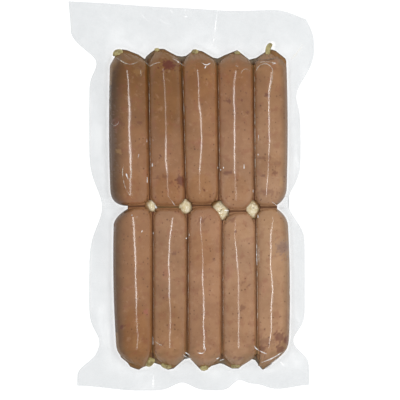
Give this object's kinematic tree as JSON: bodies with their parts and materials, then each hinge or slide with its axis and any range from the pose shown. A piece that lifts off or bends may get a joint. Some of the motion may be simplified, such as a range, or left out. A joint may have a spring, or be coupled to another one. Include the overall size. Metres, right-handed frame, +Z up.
{
  "type": "vacuum pack of sausages",
  "caption": "Clear vacuum pouch, lying flat, with two end-to-end rows of plump cooked sausages pressed side by side and a loose welded skirt of film all round.",
  "frame": {"origin": "on the surface that the pack lies on, under the middle of the pouch's outline", "axes": "+Y along the sausages towards the pouch's wider free end, +X to the right of it with the front film up, +Z up out of the front film"},
  "size_m": [0.1922, 0.3046, 0.026],
  "materials": {
    "sausage": "satin brown cooked casing with fine dark specks",
    "film": "clear glossy vacuum film, two layers welded together",
    "jelly": "wet pale yellow congealed juice"
  },
  "bodies": {
    "root": {"sausage_upper_1": "sausage", "sausage_upper_2": "sausage", "sausage_upper_3": "sausage", "sausage_upper_4": "sausage", "sausage_upper_5": "sausage", "sausage_lower_1": "sausage", "sausage_lower_2": "sausage", "sausage_lower_3": "sausage", "sausage_lower_4": "sausage", "sausage_lower_5": "sausage", "pouch": "film", "jelly_1": "jelly", "jelly_2": "jelly", "jelly_3": "jelly", "jelly_4": "jelly"}
  },
  "joints": []
}
